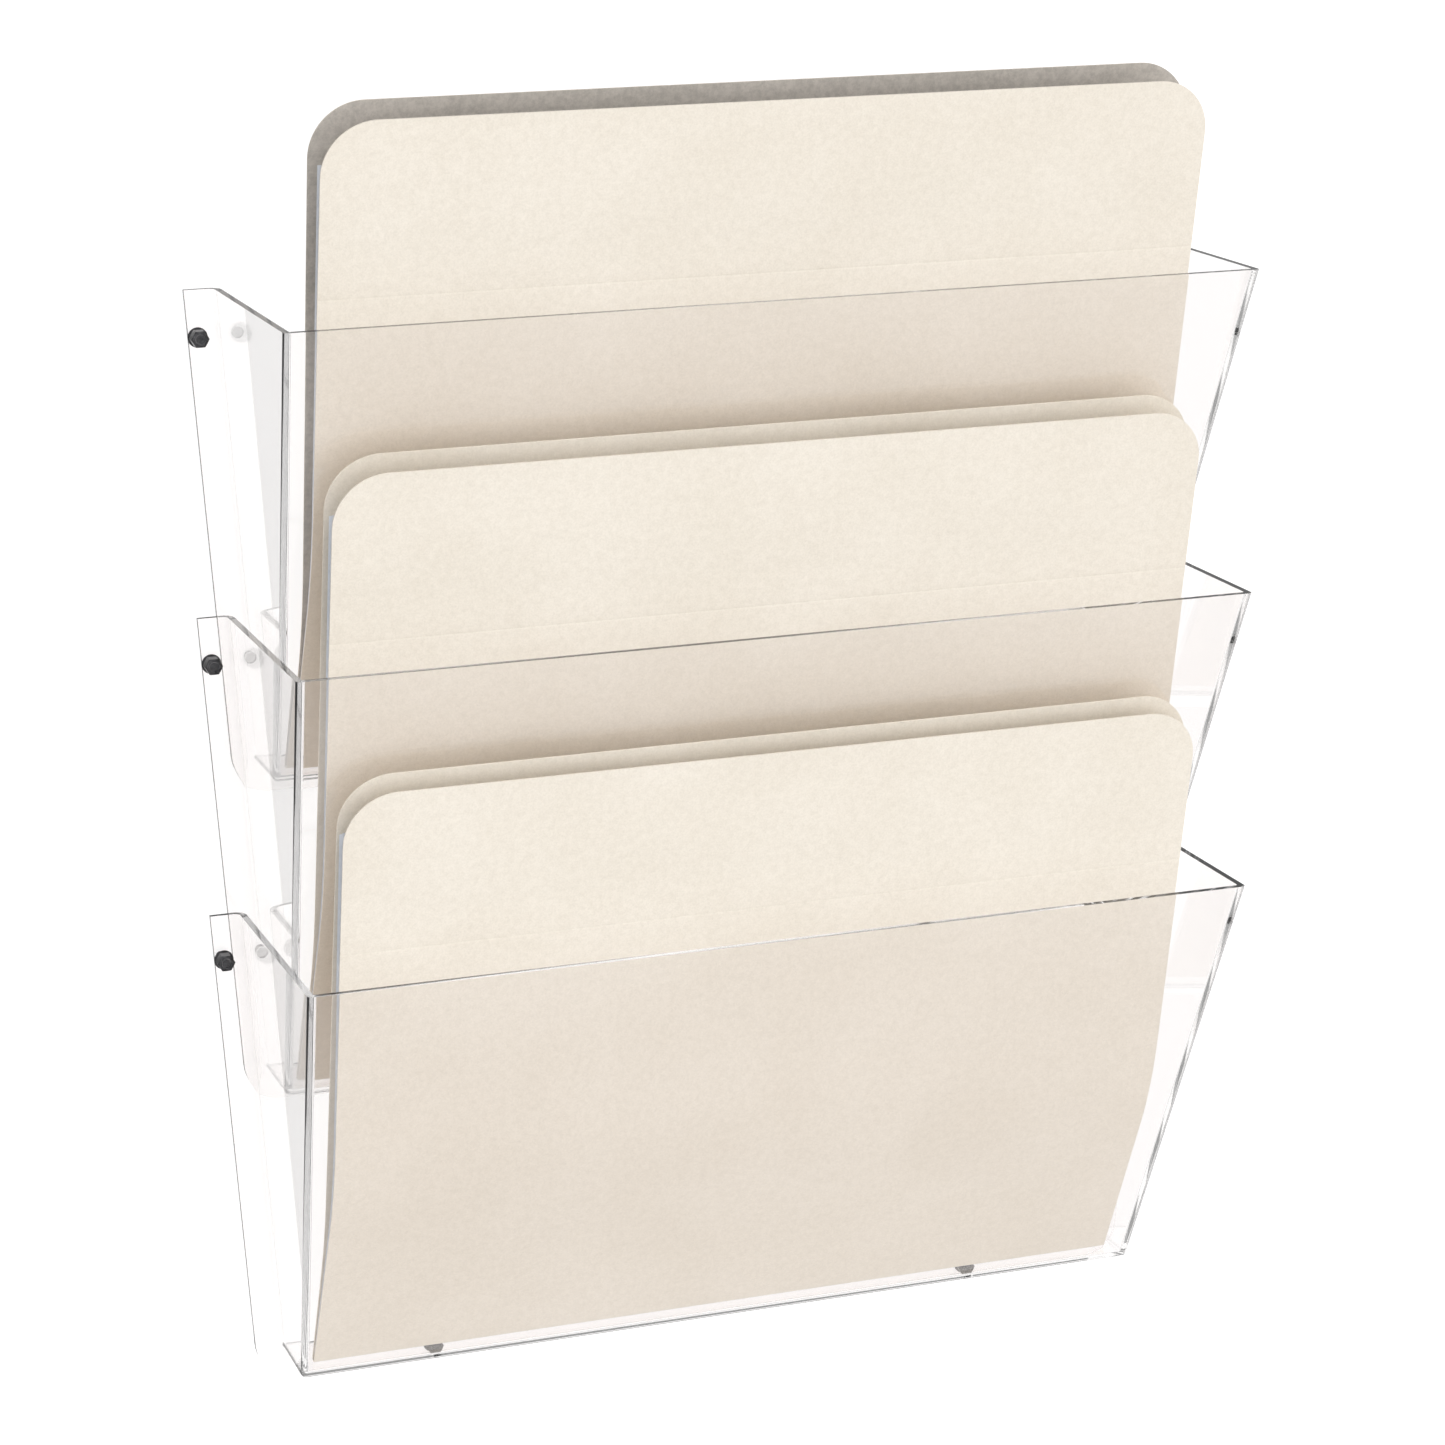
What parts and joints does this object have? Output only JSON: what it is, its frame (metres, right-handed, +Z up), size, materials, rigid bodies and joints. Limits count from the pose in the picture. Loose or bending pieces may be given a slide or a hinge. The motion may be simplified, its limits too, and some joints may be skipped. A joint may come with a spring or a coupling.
{
  "type": "wall file rack",
  "caption": "Wall file rack of nesting clear pockets screwed to a wall, each holding a letter folder with papers that lifts out forward and up.",
  "frame": {"origin": "on the wall plane, at the centre of the rectangle of the four outermost side screws", "axes": "+X to the viewer's right, +Y into the wall, +Z up; the pockets stand out towards -Y"},
  "size_m": [0.3496, 0.1238, 0.4515],
  "materials": {
    "clear_plastic": "gloss",
    "black_steel": "satin",
    "manila_card": "matte",
    "paper": "matte"
  },
  "bodies": {
    "rack": {"top_pocket": "clear_plastic", "middle_pocket": "clear_plastic", "bottom_pocket": "clear_plastic", "top_side_screws": "black_steel", "middle_side_screws": "black_steel", "bottom_side_screws": "black_steel", "bottom_edge_screws": "black_steel"},
    "top_file": {"top_folder": "manila_card", "top_papers": "paper"},
    "middle_file": {"middle_folder": "manila_card", "middle_papers": "paper"},
    "bottom_file": {"bottom_folder": "manila_card", "bottom_papers": "paper"}
  },
  "joints": [
    {"name": "top_file_lift", "type": "slide", "parent": "rack", "child": "top_file", "axis": [0, -0.3847, 0.9231], "range_m": [0, 0.175]},
    {"name": "middle_file_lift", "type": "slide", "parent": "rack", "child": "middle_file", "axis": [0, -0.3847, 0.9231], "range_m": [0, 0.175]},
    {"name": "bottom_file_lift", "type": "slide", "parent": "rack", "child": "bottom_file", "axis": [0, -0.3847, 0.9231], "range_m": [0, 0.175]}
  ]
}
